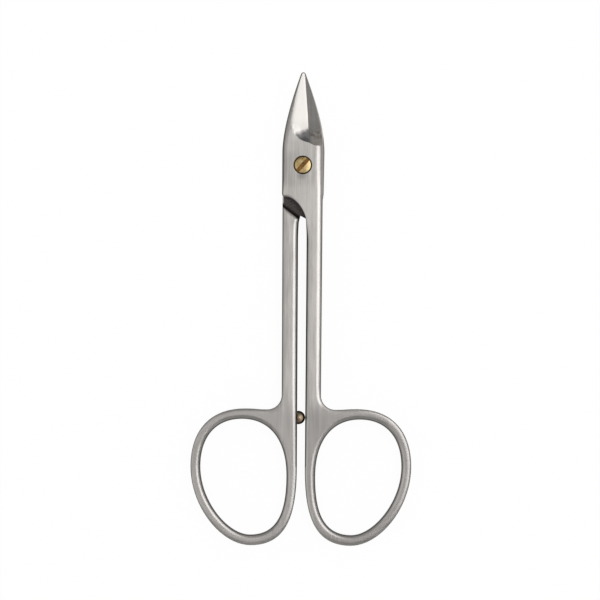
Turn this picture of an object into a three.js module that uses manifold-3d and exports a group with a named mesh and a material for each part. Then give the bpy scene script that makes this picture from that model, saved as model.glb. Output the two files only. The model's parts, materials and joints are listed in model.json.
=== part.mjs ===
// Toenail scissors, closed and lying on their back face.
// Millimetres, +Z up, tips towards +Y, origin under the middle of the bounding box.
// Outlines are drawn about the pivot, for a half with its finger ring on the right.
// The other half is the same piece turned over about the long axis.
import * as THREE from 'three';
import { mergeVertices } from 'three/addons/utils/BufferGeometryUtils.js';
import Module from 'manifold-3d';

// Lengths along the scissors, from the pivot
const LENGTH = 105;
const TIP_Y = 20.62;
const END_Y = TIP_Y - LENGTH;
const BLADE_ROOT_Y = 5.5;
const FLANK_END_Y = 2.6;
const HEEL_Y = -6.9;
const HANDLE_START_Y = -7;

// Thicknesses of the closed pair
const JOINT_THICKNESS = 4.2;
const TIP_THICKNESS = 1;
const HANDLE_END_THICKNESS = 2.5;
const LAP_GAP = 0.1;

// Rounded rims: how far they draw in, and how deep they reach for each millimetre of that
const RIM = 0.95;
const HEEL_RIM = 0.5;
const TIP_RIM = 0.15;
const RIM_DEPTH_RATIO = 1.2;
const RIM_STEPS = 5;
const CURVE_SEGMENTS = 14;

// Blade and joint outline
const TIP_RADIUS = 0.5;
const TIP_FLARE = 0.335;
const SPINE_X = -4.58;
const EDGE_X = 4.42;
const FLANK_TIP_HANDLE = 5.6;
const FLANK_ROOT_HANDLE = 5.1;
const HEEL_CORNER_RADIUS = 0.7;

// Shank outline
const SHANK_OUTER_X = 4.35;
const CROTCH_RADIUS = 2.6;
const SHANK_INNER_TOP = { x: 0.8, y: -12.6 };
const SHANK_INNER_UPPER = { x: 0.95, y: -17 };
const SHANK_INNER_LOWER = { x: 0.88, y: -67 };

// Finger ring: outermost points of its outline and its hole, and the curve handles at each of them
const RING_TOP = { x: 12.4, y: -54.08, after: 8.28 };
const RING_RIGHT = { x: 24.48, y: -66.85, before: 7.39, after: 9.05 };
const RING_BOTTOM = { x: 11.09, y: END_Y, before: 6.54, after: 8.58 };
const RING_LEFT_HANDLE = 9.7;
const HOLE_TOP = { x: 13.08, y: -56.38, before: 6.04, after: 5.85 };
const HOLE_RIGHT = { x: 22.3, y: -66.89, before: 6.46, after: 7.73 };
const HOLE_BOTTOM = { x: 11.22, y: -82.05, before: 4.95, after: 6.57 };
const HOLE_LEFT = { x: 3.2, y: -69, before: 7.17, after: 8.09 };

// Lap joint: the line below which each shank keeps its full thickness, at its outer and inner side
const FRONT_STEP = { outerY: -10.6, innerY: -13.3 };
const BACK_STEP = { outerY: -8.97, innerY: -11.65 };

// Ground faces of a blade: three points of each face, the point on the joint face where its run-out starts,
// the direction of that run-out across the blade, and the radius it curves up with
const FACET = {
  points: [[-2.4, 9, 1.73], [-0.85, 18.4, 0.73], [1.24, 7.6, 1.41]],
  lip: [0.05, 5.5],
  across: [0.93, -0.37],
  radius: 5.5,
};
const BEVEL = {
  points: [[1.24, 7.6, 1.41], [0.36, 20.04, 0.44], [4.2, 6.5, 0.2]],
  lip: [3.4, 4.5],
  across: [0.96, -0.28],
  radius: 2.5,
};
const STONE_SIZE = 30;

// Hollow in the inner face of each blade
const HOLLOW = { y: 12, halfWidth: 2, halfLength: 6, depth: 0.15 };

// Pivot screw
const HEAD_RADIUS = 1.88;
const HEAD_EDGE = 0.18;
const HEAD_DEPTH = 0.95;
const HEAD_DOME = 0.12;
const HEAD_SEAT_RADIUS = 2.03;
const HEAD_SEAT_DEPTH = 1;
const SCREW_RADIUS = 1.25;
const THREAD_RADIUS = 1.1;
const SCREW_CLEARANCE = 0.08;
const PEEN_RADIUS = 1.5;
const PEEN_DEPTH = 0.4;
const SLOT_WIDTH = 0.64;
const SLOT_DEPTH = 0.5;
const SLOT_ANGLE = THREE.MathUtils.degToRad(47.6);

// Stop rivet, set in the inner wall of the back half's shank
const STOP_Y = -56.02;
const STOP_HEAD_RADIUS = 1.5;
const STOP_WALL_X = 0.895;
const STOP_GAP = 0.06;
const STOP_PIN_RADIUS = 0.65;
const STOP_PIN_LENGTH = 2;

const ROUND_SEGMENTS = 40;
const HALF_JOINT = JOINT_THICKNESS / 2;
const PIVOT_Y = -(TIP_Y + END_Y) / 2;

const wasm = await Module();
wasm.setup();

function solid(geometry) {
  const bare = geometry.clone();
  bare.deleteAttribute('normal');
  bare.deleteAttribute('uv');
  const merged = mergeVertices(bare, 1e-5);
  const vertProperties = merged.attributes.position.array;
  const triVerts = new Uint32Array(merged.index.array);
  return new wasm.Manifold(new wasm.Mesh({ numProp: 3, vertProperties, triVerts }));
}

function geometryOf(body) {
  const { vertProperties, triVerts } = body.getMesh();
  const geometry = new THREE.BufferGeometry();
  geometry.setAttribute('position', new THREE.BufferAttribute(vertProperties, 3));
  geometry.setIndex(new THREE.BufferAttribute(triVerts, 1));
  geometry.computeVertexNormals();
  return geometry;
}

// Adds the curve from one outermost point of an oval to the next.
// The handles lie along the oval's tangents there, which are level or upright by turns.
function ovalQuarter(path, from, to, startsLevel) {
  const level = (point, length, other) => [point.x + Math.sign(other.x - point.x) * length, point.y];
  const upright = (point, length, other) => [point.x, point.y + Math.sign(other.y - point.y) * length];
  const start = startsLevel ? level(from, from.after, to) : upright(from, from.after, to);
  const end = startsLevel ? upright(to, to.before, from) : level(to, to.before, from);
  path.bezierCurveTo(...start, ...end, to.x, to.y);
}

function ringHole() {
  const hole = new THREE.Path();
  hole.moveTo(HOLE_TOP.x, HOLE_TOP.y);
  ovalQuarter(hole, HOLE_TOP, HOLE_RIGHT, true);
  ovalQuarter(hole, HOLE_RIGHT, HOLE_BOTTOM, false);
  ovalQuarter(hole, HOLE_BOTTOM, HOLE_LEFT, true);
  ovalQuarter(hole, HOLE_LEFT, HOLE_TOP, false);
  return hole;
}

// The front half's heel is a hollow curve that runs out into the shank.
function frontHeel(outline) {
  outline.bezierCurveTo(0.86, -10.8, -1.18, -7.07, SPINE_X + HEEL_CORNER_RADIUS, HEEL_Y);
  const cornerX = SPINE_X + HEEL_CORNER_RADIUS;
  const cornerY = HEEL_Y + HEEL_CORNER_RADIUS;
  outline.absarc(cornerX, cornerY, HEEL_CORNER_RADIUS, 1.5 * Math.PI, Math.PI, true);
}

// The back half's heel is fuller and reaches behind the other shank.
function backHeel(outline) {
  outline.lineTo(0.46, -11.23);
  outline.lineTo(-0.68, -11.82);
  outline.quadraticCurveTo(-3.9, -12.6, SPINE_X + 0.08, HEEL_Y);
  outline.lineTo(SPINE_X, HEEL_Y + HEEL_CORNER_RADIUS);
}

// One half from tip to finger ring, clockwise from the tip, with its cutting edge on the right.
function halfOutline(heel) {
  const outline = new THREE.Shape();
  const tipX = TIP_RADIUS * Math.cos(TIP_FLARE);
  const tipY = TIP_Y - TIP_RADIUS + TIP_RADIUS * Math.sin(TIP_FLARE);
  const handleX = tipX + FLANK_TIP_HANDLE * Math.sin(TIP_FLARE);
  const handleY = tipY - FLANK_TIP_HANDLE * Math.cos(TIP_FLARE);
  const rootHandleY = FLANK_END_Y + FLANK_ROOT_HANDLE;
  const crotchY = RING_TOP.y + CROTCH_RADIUS;
  const ringLeft = { ...SHANK_INNER_LOWER, before: RING_LEFT_HANDLE };
  const upper = SHANK_INNER_UPPER;
  const top = SHANK_INNER_TOP;

  outline.moveTo(-tipX, tipY);
  outline.absarc(0, TIP_Y - TIP_RADIUS, TIP_RADIUS, Math.PI - TIP_FLARE, TIP_FLARE, true);
  outline.bezierCurveTo(handleX, handleY, EDGE_X, rootHandleY, EDGE_X, FLANK_END_Y);
  outline.lineTo(SHANK_OUTER_X, crotchY);
  outline.absarc(SHANK_OUTER_X + CROTCH_RADIUS, crotchY, CROTCH_RADIUS, Math.PI, 1.5 * Math.PI, false);
  outline.lineTo(RING_TOP.x, RING_TOP.y);
  ovalQuarter(outline, RING_TOP, RING_RIGHT, true);
  ovalQuarter(outline, RING_RIGHT, RING_BOTTOM, false);
  ovalQuarter(outline, RING_BOTTOM, ringLeft, true);
  outline.lineTo(upper.x, upper.y);
  outline.quadraticCurveTo(upper.x, (upper.y + top.y) / 2, top.x, top.y);
  heel(outline);
  outline.lineTo(SPINE_X, FLANK_END_Y);
  outline.bezierCurveTo(SPINE_X, rootHandleY, -handleX, handleY, -tipX, tipY);
  outline.holes.push(ringHole());
  return outline;
}

// Width of the rim at a point of an outline: it narrows along the blade and around the heel.
function rimAt({ x, y }) {
  const { clamp, lerp } = THREE.MathUtils;
  const [upper, top] = [SHANK_INNER_UPPER, SHANK_INNER_TOP];
  if (y > BLADE_ROOT_Y) return lerp(RIM, TIP_RIM, (y - BLADE_ROOT_Y) / (TIP_Y - BLADE_ROOT_Y));
  if (x > upper.x || y > FLANK_END_Y - HEEL_CORNER_RADIUS) return RIM;
  return lerp(RIM, HEEL_RIM, clamp((y - upper.y) / (top.y - upper.y), 0, 1));
}

// Unit directions into the material at each point of a loop that has the material on its right.
// At a corner they are stretched so that both neighbouring sides move in by the same amount.
function inwardDirections(loop) {
  return loop.map((point, i) => {
    const previous = loop.at(i - 1);
    const next = loop[(i + 1) % loop.length];
    const sideA = point.clone().sub(previous).normalize();
    const sideB = next.clone().sub(point).normalize();
    const normalA = new THREE.Vector2(sideA.y, -sideA.x);
    const normalB = new THREE.Vector2(sideB.y, -sideB.x);
    const middle = normalA.clone().add(normalB).normalize();
    return middle.divideScalar(middle.dot(normalB));
  });
}

function openLoop(points, clockwise) {
  const loop = points.filter((point, i) => point.distanceTo(points.at(i - 1)) > 1e-6);
  return THREE.ShapeUtils.isClockWise(loop) === clockwise ? loop : loop.reverse();
}

// A plate with rounded rims: full size at mid height, drawn in towards both faces.
function roundedPlate(shape) {
  const { shape: outer, holes } = shape.extractPoints(CURVE_SEGMENTS);
  const loops = [openLoop(outer, true), ...holes.map((hole) => openLoop(hole, false))];
  const layers = [];
  for (let step = -RIM_STEPS; step <= RIM_STEPS; step++) {
    if (step !== 0) layers.push({ side: Math.sign(step), turn: (Math.abs(step) - 1) / (RIM_STEPS - 1) });
  }
  const drawnIn = loops.map((loop) => {
    const inward = inwardDirections(loop);
    return layers.map(({ side, turn }) => loop.map((point, i) => {
      const rim = rimAt(point);
      const angle = turn * Math.PI / 2;
      const place = point.clone().addScaledVector(inward[i], rim * (1 - Math.cos(angle)));
      const drop = rim * RIM_DEPTH_RATIO * (1 - Math.sin(angle));
      return new THREE.Vector3(place.x, place.y, side * (HALF_JOINT - drop));
    }));
  });

  const positions = [];
  const index = [];
  const firstOf = drawnIn.map((rings) => rings.map((ring) => {
    const first = positions.length / 3;
    ring.forEach((vertex) => positions.push(...vertex.toArray()));
    return first;
  }));
  firstOf.forEach((firsts, loopIndex) => {
    const count = loops[loopIndex].length;
    for (let layer = 0; layer + 1 < firsts.length; layer++) {
      for (let i = 0; i < count; i++) {
        const j = (i + 1) % count;
        const [low, high] = [firsts[layer], firsts[layer + 1]];
        index.push(low + j, low + i, high + i, low + j, high + i, high + j);
      }
    }
  });
  for (const layer of [0, layers.length - 1]) {
    const rims = drawnIn.map((rings) => rings[layer].map((vertex) => new THREE.Vector2(vertex.x, vertex.y)));
    const flat = rims.flat();
    const vertexOf = rims.flatMap((rim, k) => rim.map((_, i) => firstOf[k][layer] + i));
    for (const face of THREE.ShapeUtils.triangulateShape(rims[0], rims.slice(1))) {
      const clockwise = THREE.ShapeUtils.area(face.map((i) => flat[i])) < 0;
      const facesUp = layer > 0;
      const ordered = clockwise === facesUp ? [face[0], face[2], face[1]] : face;
      index.push(...ordered.map((i) => vertexOf[i]));
    }
  }
  const geometry = new THREE.BufferGeometry();
  geometry.setAttribute('position', new THREE.Float32BufferAttribute(positions, 3));
  geometry.setIndex(index);
  return geometry;
}

// Splits the triangles that cross a given length, so that the surface can bend there.
function scored(geometry, y) {
  const positions = Array.from(geometry.attributes.position.array);
  const vertex = (i) => new THREE.Vector3().fromArray(positions, 3 * i);
  const isBeyond = (i) => positions[3 * i + 1] >= y;
  const crossings = new Map();
  const crossing = (a, b) => {
    const key = a < b ? `${a} ${b}` : `${b} ${a}`;
    if (!crossings.has(key)) {
      const [start, end] = [vertex(Math.min(a, b)), vertex(Math.max(a, b))];
      crossings.set(key, positions.length / 3);
      positions.push(...start.lerp(end, (y - start.y) / (end.y - start.y)).toArray());
    }
    return crossings.get(key);
  };
  const index = [];
  for (let i = 0; i < geometry.index.count; i += 3) {
    const face = [0, 1, 2].map((k) => geometry.index.getX(i + k));
    const beyond = face.filter(isBeyond).length;
    if (beyond === 0 || beyond === 3) {
      index.push(...face);
      continue;
    }
    const lone = face.findIndex((corner) => isBeyond(corner) === (beyond === 1));
    const [a, b, c] = [0, 1, 2].map((k) => face[(lone + k) % 3]);
    const ab = crossing(a, b);
    const ca = crossing(c, a);
    index.push(a, ab, ca, ab, b, c, ab, c, ca);
  }
  const result = new THREE.BufferGeometry();
  result.setAttribute('position', new THREE.Float32BufferAttribute(positions, 3));
  result.setIndex(index);
  return result;
}

function thicknessAt(y) {
  const { mapLinear } = THREE.MathUtils;
  if (y > BLADE_ROOT_Y) return mapLinear(y, BLADE_ROOT_Y, TIP_Y, JOINT_THICKNESS, TIP_THICKNESS);
  if (y < HANDLE_START_Y) return mapLinear(y, HANDLE_START_Y, END_Y, JOINT_THICKNESS, HANDLE_END_THICKNESS);
  return JOINT_THICKNESS;
}

// The forged blank of one half: level at the joint, thinning towards the tip and the ring.
function blank(outline) {
  const geometry = scored(scored(roundedPlate(outline), BLADE_ROOT_Y), HANDLE_START_Y);
  const position = geometry.attributes.position;
  for (let i = 0; i < position.count; i++) {
    position.setZ(i, position.getZ(i) * thicknessAt(position.getY(i)) / JOINT_THICKNESS);
  }
  return solid(geometry);
}

// What is cut away so that one half laps over the other: its far side, above the step line.
function lapCut(step) {
  const slope = (step.outerY - step.innerY) / (SHANK_OUTER_X - SHANK_INNER_TOP.x);
  const stepY = (x) => step.outerY + slope * (x - SHANK_OUTER_X);
  const area = new THREE.Shape();
  area.moveTo(-STONE_SIZE, stepY(-STONE_SIZE));
  area.lineTo(STONE_SIZE, stepY(STONE_SIZE));
  area.lineTo(STONE_SIZE, 2 * STONE_SIZE);
  area.lineTo(-STONE_SIZE, 2 * STONE_SIZE);
  area.closePath();
  const depth = JOINT_THICKNESS;
  const cut = new THREE.ExtrudeGeometry(area, { depth, bevelEnabled: false });
  cut.translate(0, 0, LAP_GAP / 2 - depth);
  return solid(cut);
}

// A grinding cut: flat along a plane, and curving up to the joint face at its lip.
function grindCut({ points, lip, across, radius }) {
  const plane = new THREE.Plane();
  plane.setFromCoplanarPoints(...points.map((point) => new THREE.Vector3(...point)));
  if (plane.normal.z < 0) plane.negate();
  const normal = plane.normal;
  const rise = -(normal.x * across[0] + normal.y * across[1]) / normal.z;
  const side = new THREE.Vector3(...across, rise).normalize();
  const ahead = normal.clone().cross(side);
  const lipPoint = new THREE.Vector3(...lip, HALF_JOINT);
  const depth = plane.distanceToPoint(lipPoint);
  const reach = radius - Math.sqrt(depth * (2 * radius - depth));
  const start = plane.projectPoint(lipPoint, new THREE.Vector3()).addScaledVector(ahead, -reach);

  const profile = new THREE.Shape();
  profile.moveTo(0, STONE_SIZE);
  profile.lineTo(0, radius);
  profile.absarc(radius, radius, radius, Math.PI, 1.5 * Math.PI, false);
  profile.lineTo(STONE_SIZE, 0);
  profile.lineTo(STONE_SIZE, STONE_SIZE);
  profile.closePath();
  const options = { depth: STONE_SIZE, bevelEnabled: false, curveSegments: CURVE_SEGMENTS };
  const stone = new THREE.ExtrudeGeometry(profile, options);
  stone.translate(0, 0, -STONE_SIZE / 2);
  stone.applyMatrix4(new THREE.Matrix4().makeBasis(ahead, normal, side).setPosition(start));
  return solid(stone);
}

// A shallow oval dish that keeps the inner face clear of the other blade.
function hollowCut() {
  const profile = [new THREE.Vector2(0, -1)];
  for (let i = RIM_STEPS; i >= 0; i--) {
    const radius = i / RIM_STEPS;
    if (i === RIM_STEPS) profile.push(new THREE.Vector2(radius, -1));
    profile.push(new THREE.Vector2(radius, 1 - radius * radius));
  }
  const dish = new THREE.LatheGeometry(profile, ROUND_SEGMENTS);
  dish.rotateX(Math.PI / 2);
  dish.scale(HOLLOW.halfWidth, HOLLOW.halfLength, HOLLOW.depth);
  dish.translate(0, HOLLOW.y, LAP_GAP / 2);
  return solid(dish);
}

// A solid of revolution about Z, from [radius, height] corners that start and end on the axis.
function turned(corners) {
  const profile = corners.map(([radius, height]) => new THREE.Vector2(radius, height));
  const geometry = new THREE.LatheGeometry(profile, ROUND_SEGMENTS);
  geometry.rotateX(Math.PI / 2);
  return geometry;
}

function roundBar(radius, fromZ, toZ) {
  return turned([[0, fromZ], [radius, fromZ], [radius, toZ], [0, toZ]]);
}

function half(heel, step) {
  return blank(halfOutline(heel))
    .subtract(lapCut(step))
    .subtract(grindCut(FACET))
    .subtract(grindCut(BEVEL))
    .subtract(hollowCut());
}

// Upper half: bored for the screw and counterbored for its head.
function frontHalf() {
  const bore = roundBar(SCREW_RADIUS + SCREW_CLEARANCE, -JOINT_THICKNESS, JOINT_THICKNESS);
  const seat = roundBar(HEAD_SEAT_RADIUS, HALF_JOINT - HEAD_SEAT_DEPTH, JOINT_THICKNESS);
  return geometryOf(half(frontHeel, FRONT_STEP).subtract(solid(bore)).subtract(solid(seat)));
}

// Lower half: holds the screw's end, spread out in a countersink, and the stop's pin.
function backHalf() {
  const flare = PEEN_RADIUS + SCREW_CLEARANCE;
  const neck = THREAD_RADIUS + SCREW_CLEARANCE;
  const bore = turned([
    [0, -JOINT_THICKNESS],
    [neck, -JOINT_THICKNESS],
    [neck, HALF_JOINT - PEEN_DEPTH],
    [flare, HALF_JOINT],
    [flare, JOINT_THICKNESS],
    [0, JOINT_THICKNESS],
  ]);
  const pinHole = roundBar(STOP_PIN_RADIUS + SCREW_CLEARANCE, 0, STOP_WALL_X + STOP_PIN_LENGTH + 2 * STOP_GAP);
  pinHole.rotateY(Math.PI / 2);
  pinHole.translate(0, STOP_Y, 0);
  return geometryOf(half(backHeel, BACK_STEP).subtract(solid(bore)).subtract(solid(pinHole)));
}

// Slotted screw with a low domed head, a plain neck and a spread end.
function pivotScrew() {
  const headBase = HALF_JOINT - HEAD_DEPTH;
  const body = turned([
    [0, -HALF_JOINT],
    [PEEN_RADIUS, -HALF_JOINT],
    [THREAD_RADIUS, -HALF_JOINT + PEEN_DEPTH],
    [THREAD_RADIUS, 0],
    [SCREW_RADIUS, 0],
    [SCREW_RADIUS, headBase],
    [HEAD_RADIUS, headBase],
    [HEAD_RADIUS, HALF_JOINT - HEAD_EDGE],
    [HEAD_RADIUS - HEAD_EDGE, HALF_JOINT],
    [HEAD_RADIUS / 2, HALF_JOINT + HEAD_DOME * 0.75],
    [0, HALF_JOINT + HEAD_DOME],
  ]);
  const slot = new THREE.BoxGeometry(4 * HEAD_RADIUS, SLOT_WIDTH, 2 * SLOT_DEPTH);
  slot.rotateZ(SLOT_ANGLE);
  slot.translate(0, 0, HALF_JOINT + HEAD_DOME);
  return geometryOf(solid(body).subtract(solid(slot)));
}

// Rivet with a ball head that the other shank closes on. Its axis points to +X.
function stopRivet() {
  const base = -STOP_WALL_X + STOP_GAP;
  const centre = STOP_WALL_X - STOP_GAP - STOP_HEAD_RADIUS;
  const headSteps = 10;
  const startAngle = Math.acos((base - centre) / STOP_HEAD_RADIUS);
  const corners = [
    [0, base - STOP_GAP - STOP_PIN_LENGTH],
    [STOP_PIN_RADIUS, base - STOP_GAP - STOP_PIN_LENGTH],
    [STOP_PIN_RADIUS, base],
  ];
  for (let i = 0; i < headSteps; i++) {
    const angle = startAngle * (1 - i / headSteps);
    corners.push([STOP_HEAD_RADIUS * Math.sin(angle), centre + STOP_HEAD_RADIUS * Math.cos(angle)]);
  }
  corners.push([0, centre + STOP_HEAD_RADIUS]);
  const rivet = turned(corners);
  rivet.rotateY(Math.PI / 2);
  return rivet;
}

const satinSteel = new THREE.MeshStandardMaterial({ color: 0xb9bbbd, roughness: 0.38, metalness: 1 });
const brass = new THREE.MeshStandardMaterial({ color: 0xc9a45c, roughness: 0.3, metalness: 1 });

function piece(name, geometry, material) {
  const mesh = new THREE.Mesh(geometry, material);
  mesh.name = name;
  return mesh;
}

const front = piece('front_half', frontHalf(), satinSteel);
const back = piece('back_half', backHalf(), satinSteel);
back.rotation.y = Math.PI;
const screw = piece('pivot_screw', pivotScrew(), brass);
const stop = piece('stop_rivet', stopRivet(), brass);
stop.position.y = STOP_Y;

const pivot = new THREE.Group();
pivot.position.set(0, PIVOT_Y, HALF_JOINT);
pivot.add(front, back, screw, stop);

const scissors = new THREE.Group();
scissors.name = 'toenail_scissors';
scissors.add(pivot);

export default scissors;
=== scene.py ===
import json
import math
import bpy
from mathutils import Matrix, Vector
from mathutils.kdtree import KDTree


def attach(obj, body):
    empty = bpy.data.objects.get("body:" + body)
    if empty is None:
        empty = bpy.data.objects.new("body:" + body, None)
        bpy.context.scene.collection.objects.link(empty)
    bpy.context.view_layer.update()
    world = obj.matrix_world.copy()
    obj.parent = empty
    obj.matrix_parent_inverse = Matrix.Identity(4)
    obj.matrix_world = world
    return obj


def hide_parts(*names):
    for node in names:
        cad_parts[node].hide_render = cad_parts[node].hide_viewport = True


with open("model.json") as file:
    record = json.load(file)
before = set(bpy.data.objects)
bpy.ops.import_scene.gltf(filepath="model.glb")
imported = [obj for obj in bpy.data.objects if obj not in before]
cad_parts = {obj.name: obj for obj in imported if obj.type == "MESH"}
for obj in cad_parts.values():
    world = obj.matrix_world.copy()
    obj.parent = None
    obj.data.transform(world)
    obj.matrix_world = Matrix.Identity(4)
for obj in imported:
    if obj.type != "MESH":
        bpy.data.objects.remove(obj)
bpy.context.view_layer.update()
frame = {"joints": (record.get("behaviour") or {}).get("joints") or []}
PIVOT = Vector(frame["joints"][0]["pos_m"])
MILLIMETRE = 0.001

# Lengths along the scissors, in millimetres from the pivot
TIP_Y = 20.62
END_Y = -84.38
BLADE_ROOT_Y = 5.5
FLANK_END_Y = 2.6
HEEL_Y = -7.1
HANDLE_START_Y = -7

# Thicknesses of the closed pair
JOINT_THICKNESS = 4.2
TIP_THICKNESS = 1
HANDLE_END_THICKNESS = 2.5
HALF_JOINT = JOINT_THICKNESS / 2
BLADE_KNEE = 1.6
HANDLE_KNEE = 4
LAP_GAP = 0.1

# Rounded rims: their widths, how deep they reach for each millimetre of width, and where they change
JOINT_RIM = 1.75
SPINE_RIM = 1.25
SHANK_RIM = 1.3
SHANK_INNER_RIM = 1.25
RING_RIM = 1
HOLE_RIM = 1.15
HEEL_RIM = 0.62
HEEL_END_RIM = 0.3
TIP_RIM = 0.48
OUTER_RIM_DEPTH = 0.42
INNER_RIM_DEPTH = 0.58
SPINE_RIM_DEPTH = 0.7
RING_RIM_DEPTH = 0.34
HOLE_RIM_DEPTH = 0.64
TIP_RIM_DEPTH = 0.9
TIP_RIM_START_Y = 16
SPINE_RIM_START_Y = -2.5
SPINE_DEPTH_BLEND = (3, 9)
JOINT_DEPTH_BLEND = (-1, 1)
SHANK_DEPTH_BLEND = (2.2, 2.8)
HEEL_RIM_BLEND = (0.5, -3)
RING_RIM_BLEND = 6
RIM_TOLERANCE = 0.03
HEEL_MARK_SPACING = 0.9
RING_MARK_HEIGHT = 5
RIM_END = (-17, -12.6)
BACK_LAPPED_RIM_END = (-12, -11.3)
RIM_SEGMENTS = 10

# Blade and joint outline
OUTLINE_STEPS = 22
TIP_RADIUS = 0.56
TIP_FLARE = 0.345
SPINE_X = -4.58
BACK_SPINE_X = -4.79
BACK_HEEL_X = -4.67
EDGE_X = 4.5
FLANK_TIP_HANDLE = 5.6
FLANK_ROOT_HANDLE = 5.1
BACK_SPINE_HANDLE = 6.1
HEEL_CORNER = 0.7
FRONT_HEEL_HANDLES = ((0.86, -10.9), (-1.18, -7.2))
BACK_HEEL_CORNERS = ((0.46, -11.23), (-0.68, -11.82))
BACK_HEEL_HANDLES = ((-2.83, -12.34), (-4.1, -10.7))
BACK_HEEL_TUCK = 0.1

# Shank outline
SHANK_OUTER_X = 4.36
SHANK_BEND = (4.38, -22)
CROTCH_RADIUS = 3.2
CROTCH_DIP = 0.2
CROTCH_HANDLE = 2
SHANK_TOP = (0.8, -12.6)
SHANK_UPPER = (0.95, -17)
SHANK_LOWER = (0.88, -67)
SHANK_EASE = (0.05, 0.7)

# Finger ring: outermost points of its outline and its hole, with the handle lengths before and after each
RING_TOP = (12.4, -54.08, 2.5, 8.28)
RING_RIGHT = (24.48, -66.85, 7.39, 9.05)
RING_BOTTOM = (11.09, END_Y, 6.54, 8.58)
RING_LEFT = (*SHANK_LOWER, 9.7, 0)
HOLE_TOP = (13.08, -56.38, 6.04, 5.85)
HOLE_RIGHT = (22.3, -66.89, 6.46, 7.73)
HOLE_BOTTOM = (11.22, -82.05, 4.95, 6.57)
HOLE_LEFT = (3.2, -69, 7.17, 8.09)
RING_MIDDLE = (12.7, -69.2)

# Lap step of each half: its height at the shank's outer and inner side
FRONT_STEP = (-10.6, -13.3)
BACK_STEP = (-8.97, -11.65)
STEP_ROUNDING = 1.15
STEP_LEAN = 0.22
STEP_FILLET = 0.12

# Ground faces of a blade: three points of each, and the hollow in which they run out to the joint
FACET = ((-2.4, 9, 1.665), (-0.85, 18.4, 0.7), (1.24, 7.6, 1.375))
BEVEL = ((1.24, 7.6, 1.375), (0.36, 20.04, 0.405), (4.2, 6.5, 0.2))
FACET_FADE = 0.08
RUN_OUT_RADIUS = 3
RUN_OUT_MIDDLE = (1.6, 6.66)
RUN_OUT_CURVE = 0.07
RUN_OUT_SLANT = 0.95
NOSE_X = (-0.6, -2)
NOSE_Y = (10, 4.8)
NOSE_LIFT = 0.25
RUN_OUT_LEFT_X = -1.1
STONE_MESH = 0.15
STONE_COLUMNS = (44, 29)
STONE_ROWS = (44, 14)
STONE_COARSE_Y = 9
STONE_COARSE_MESH = 6 * STONE_MESH
STONE_CLEARANCE = 0.004
STONE_SIZE = 30

# Hollow in the inner face of each blade
HOLLOW_Y = 12
HOLLOW_HALF_WIDTH = 2
HOLLOW_HALF_LENGTH = 6
HOLLOW_DEPTH = 0.15

# Pivot screw
HEAD_RADIUS = 1.88
HEAD_DEPTH = 0.95
HEAD_EDGE = 0.17
HEAD_DOME = 0.115
HEAD_SEAT_RADIUS = 2.03
HEAD_SEAT_DEPTH = 1
SCREW_RADIUS = 1.25
THREAD_RADIUS = 1.1
CLEARANCE = 0.08
PEEN_RADIUS = 1.5
PEEN_DEPTH = 0.4
PEEN_DISH = 0.12
PEEN_EDGE = 0.12
SLOT_WIDTH = 0.76
SLOT_DEPTH = 0.4
SLOT_CORNER = 0.05
SLOT_LIP = (0.02, 0.28)
SLOT_FLARE = 0.2
SLOT_REACH = 4
SLOT_ANGLE = 47.6

# Stop rivet
STOP_Y = -56.02
STOP_RADIUS = 1.5
STOP_WALL_X = 0.895
STOP_GAP = 0.02
STOP_BASE_GAP = 0.01
STOP_BALL_X = STOP_WALL_X - STOP_GAP - STOP_RADIUS
STOP_PIN_RADIUS = 0.65
STOP_PIN_LENGTH = 2

# Largest angles that are shaded smooth, in degrees
STEEL_SMOOTHING = 15
SCREW_SMOOTHING = 30
RIVET_SMOOTHING = 40

# Colours of the steel and of the light and shade painted on it, from dark to light where there are two
BRUSHED = ((0.475, 0.455, 0.434), (0.715, 0.685, 0.653))
# Darker patch below the screw
BELOW_SCREW_DARK = (0.25, 0.239, 0.23)
GROUND = ((0.48, 0.461, 0.44), (0.56, 0.538, 0.513))
# Painted highlight beside the end of the facet
PAINTED_GLOW = (0.78, 0.752, 0.722)
LEFT_RING = (0.46, 0.435, 0.418)
RIGHT_RING = (0.3, 0.283, 0.275)
# Painted shade: on rims, on rims in the gap, on the ledge, on upright walls and round the tip
RIM_SHADE = (0.1, 0.096, 0.09)
GAP_SHADE = (0.06, 0.057, 0.052)
LEDGE_SHADE = (0.27, 0.26, 0.245)
WALL_SHADE = (0.36, 0.345, 0.328)
TIP_EDGE_SHADE = (0.09, 0.087, 0.082)
GREY_STAIN = ((0.13, 0.127, 0.13), (0.21, 0.205, 0.205))
BROWN_STAIN = ((0.15, 0.136, 0.118), (0.44, 0.41, 0.372))
# Darker lap recess, and painted shade in the seam, round the screw's seat and as the stop's shadow
LAP_DARK_AND_SHADE = ((0.04, 0.036, 0.034), (0.19, 0.172, 0.164))
SEAT_SHADE = (0.11, 0.083, 0.045)
STOP_SHADOW = (0.025, 0.021, 0.016)

# Colours of the brass and of the shade and highlight painted on it, from dark to light
TURNED_BRASS = ((0.36, 0.24, 0.09), (0.7, 0.53, 0.27))
DARK_BRASS = ((0.18, 0.09, 0.025), (0.34, 0.17, 0.055))
# The ball's painted shade, its own colour, and its painted highlight
BALL_SHADE_AND_HIGHLIGHT = ((0.02, 0.014, 0.007), (0.4, 0.3, 0.205), (0.95, 0.72, 0.5))

# Stage: lengths in metres, angles in degrees, and strengths of light
STAGE_MIDDLE = Vector((-0.00043, 0.00195, 0.0021))
FLOOR_SIZE = 6
FLOOR_GAP = 0.00003
FLOOR_WHITE = (0.9, 0.9, 0.9)
FLOOR_GLOW = 1.05
FLOOR_GLOW_SHARE = 0.9
WALL_LIGHT = 0.62
CEILING_LIGHT = 0.3
CEILING_EDGE = (0.38, 0.62)
CAMERA_HEIGHT = 1
CAMERA_TURN = 0.376
VIEW_WIDTH = 0.1332


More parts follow.
